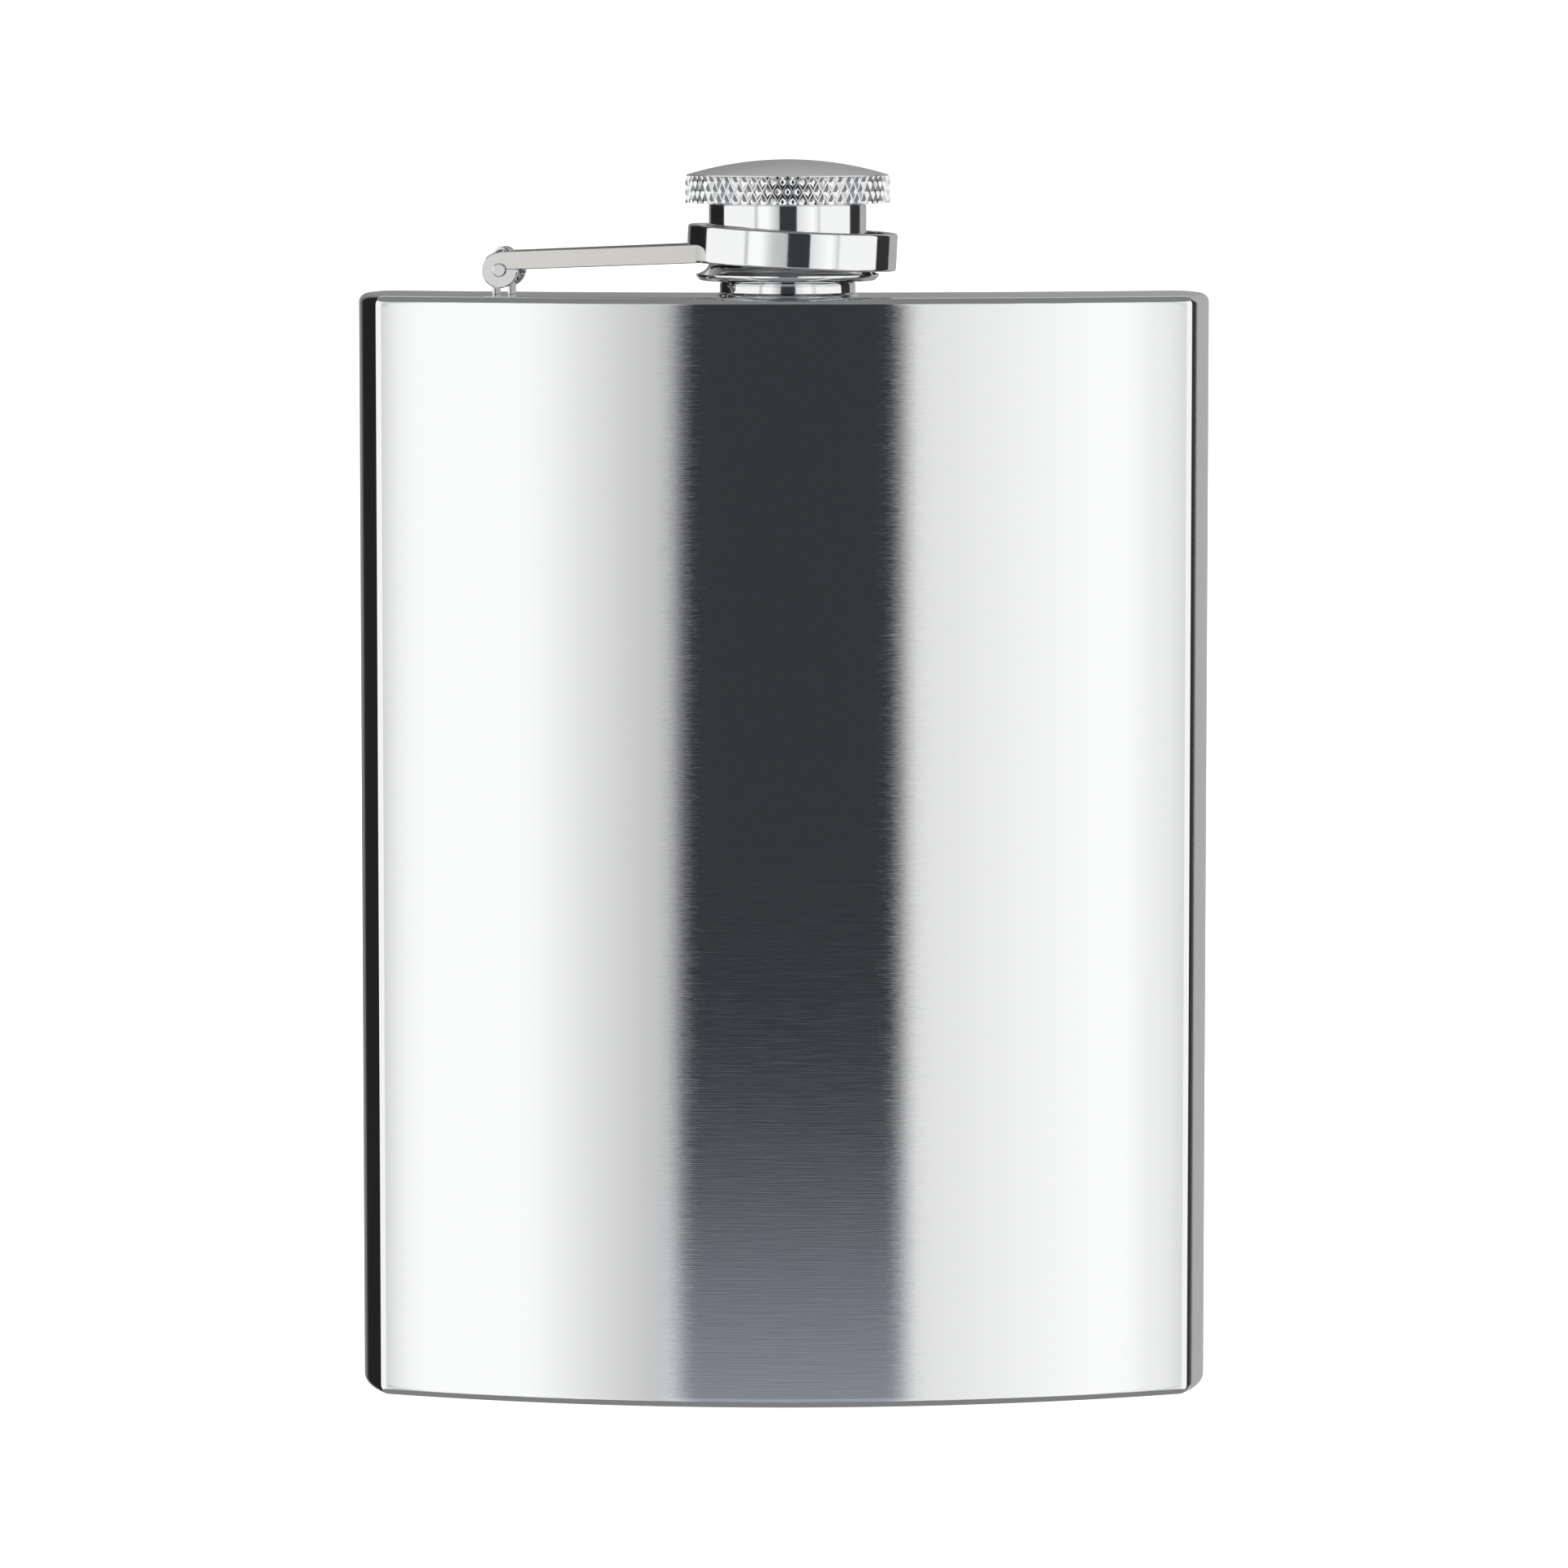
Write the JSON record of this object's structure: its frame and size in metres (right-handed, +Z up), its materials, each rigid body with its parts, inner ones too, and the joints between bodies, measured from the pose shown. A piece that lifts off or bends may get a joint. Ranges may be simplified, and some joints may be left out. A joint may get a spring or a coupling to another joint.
{
  "type": "hip flask",
  "caption": "Kidney-shaped steel hip flask with a threaded neck and a knurled screw cap held captive by a hinged strap with a ring.",
  "frame": {"origin": "bottom centre of the object's box: under the middle of the flask, on the plane it stands on", "axes": "+Z up through the cap; -Y out of the convex front; +X to the viewer's right when looking at the front, so the hinge is at -X"},
  "size_m": [0.095, 0.0278, 0.138],
  "materials": {
    "polished_steel": "polished, with fine level hairlines",
    "turned_steel": "bright turned",
    "strap_steel": "bright stamped",
    "cap_steel": "satin dome over a knurled rim",
    "gasket_silicone": "translucent white silicone"
  },
  "bodies": {
    "flask": {"body_shell": "polished_steel", "bottom_plate": "polished_steel", "top_plate": "polished_steel", "neck": "turned_steel", "hinge_lug": "strap_steel"},
    "rivet": {"hinge_pin": "strap_steel", "front_washer": "strap_steel", "rear_washer": "strap_steel"},
    "strap": {"retaining_strap": "strap_steel"},
    "cap": {"cap_head": "cap_steel", "cap_sleeve": "turned_steel", "cap_gasket": "gasket_silicone"}
  },
  "joints": [
    {"name": "strap_rise", "type": "slide", "parent": "flask", "child": "rivet", "axis": [0, 0, 1], "range_m": [0, 0.0015]},
    {"name": "strap_swing", "type": "hinge", "parent": "rivet", "child": "strap", "pos_m": [-0.0311, 0.00106, 0.12575], "axis": [-0.1167, -0.9932, 0], "range_deg": [0, 170]},
    {"name": "cap_turn", "type": "hinge", "parent": "strap", "child": "cap", "pos_m": [0.0004, -0.00264, 0.12425], "axis": [0, 0, 1], "range_deg": [0, 360]}
  ],
  "couplings": [
    {"joint": "strap_rise", "follows": "cap_turn", "m_per_rad": 0.00023873}
  ]
}
